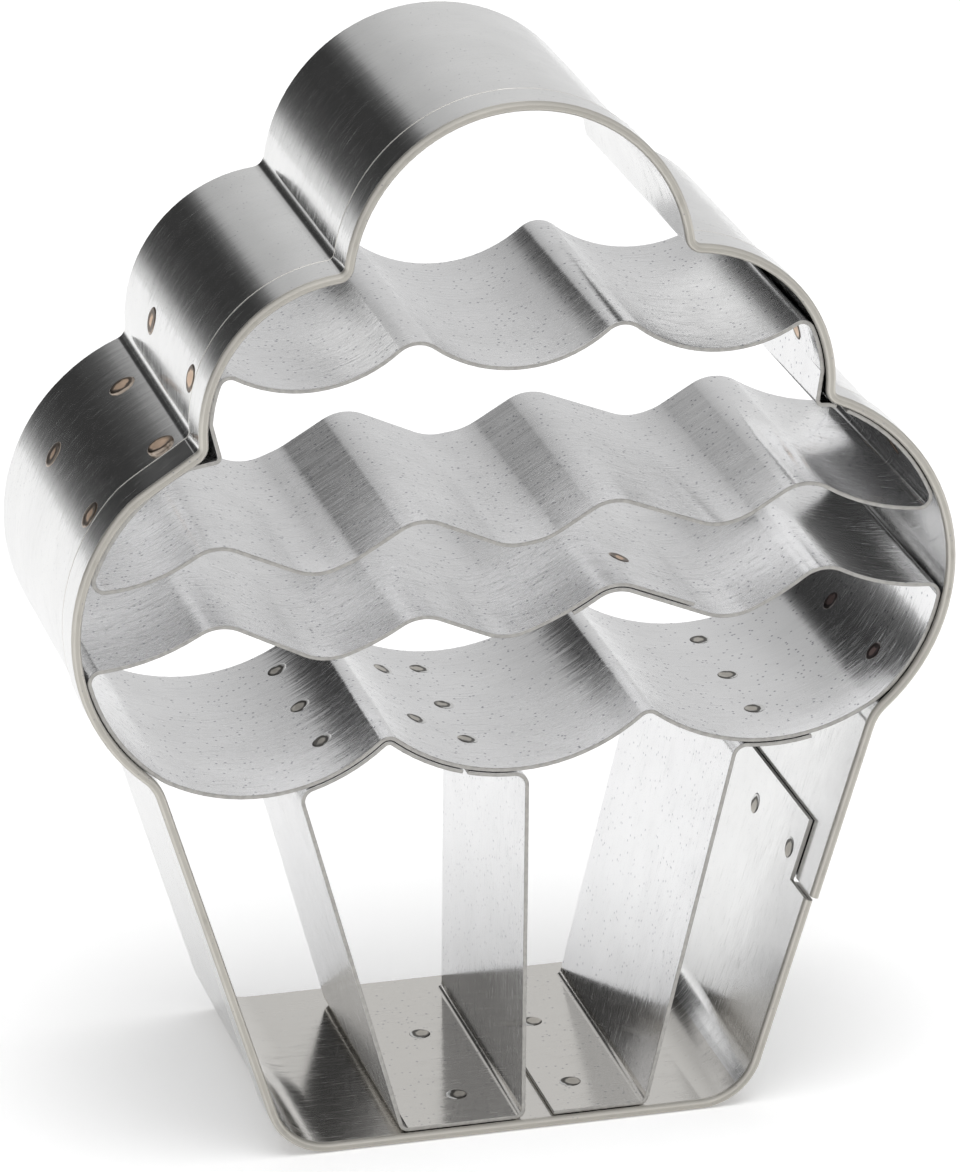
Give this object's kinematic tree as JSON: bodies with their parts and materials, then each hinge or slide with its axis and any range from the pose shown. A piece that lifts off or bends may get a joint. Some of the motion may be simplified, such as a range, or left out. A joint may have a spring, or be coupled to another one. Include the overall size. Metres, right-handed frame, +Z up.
{
  "type": "cookie cutter",
  "caption": "Cupcake-shaped tinplate cookie cutter: a hemmed outer band with wavy icing strips, scallops and pleat strips spot welded inside it for embossing.",
  "frame": {"origin": "middle of the overall box, at the height of the hem under the base", "axes": "+Z up from the base of the cup to the dome, +Y from the hemmed grip edge to the cutting edge, +X to the right seen from the grip edge"},
  "size_m": [0.0538, 0.022, 0.0651],
  "materials": {
    "tinplate": "bright rolled tinplate with fine lines along the strip",
    "weld": "dull spot weld mark with a heat tint"
  },
  "bodies": {
    "root": {"outer_band": "tinplate", "upper_icing_ring": "tinplate", "lower_icing_ring": "tinplate", "pleat_frame": "tinplate", "right_pleat_strip": "tinplate", "weld_left_middle_lobe_1": "weld", "weld_left_middle_lobe_2": "weld", "weld_left_lower_lobe_high_1": "weld", "weld_left_lower_lobe_high_2": "weld", "weld_left_lower_lobe_low_1": "weld", "weld_left_lower_lobe_low_2": "weld", "weld_right_middle_lobe_1": "weld", "weld_right_middle_lobe_2": "weld", "weld_right_lower_lobe_high_1": "weld", "weld_right_lower_lobe_high_2": "weld", "weld_right_lower_lobe_low_1": "weld", "weld_right_lower_lobe_low_2": "weld", "weld_left_scallop_1": "weld", "weld_left_scallop_2": "weld", "weld_left_scallop_3": "weld", "weld_middle_scallop_1": "weld", "weld_middle_scallop_2": "weld", "weld_middle_scallop_3": "weld", "weld_right_scallop_1": "weld", "weld_right_scallop_2": "weld", "weld_right_scallop_3": "weld", "weld_right_flank_1": "weld", "weld_right_flank_2": "weld", "weld_scallop_crest_1": "weld", "weld_scallop_crest_2": "weld", "weld_frame_floor_1": "weld", "weld_frame_floor_2": "weld", "weld_right_pleat_floor_1": "weld", "weld_right_pleat_floor_2": "weld", "weld_band_seam_1": "weld", "weld_band_seam_2": "weld", "weld_ring_lap": "weld"}
  },
  "joints": []
}
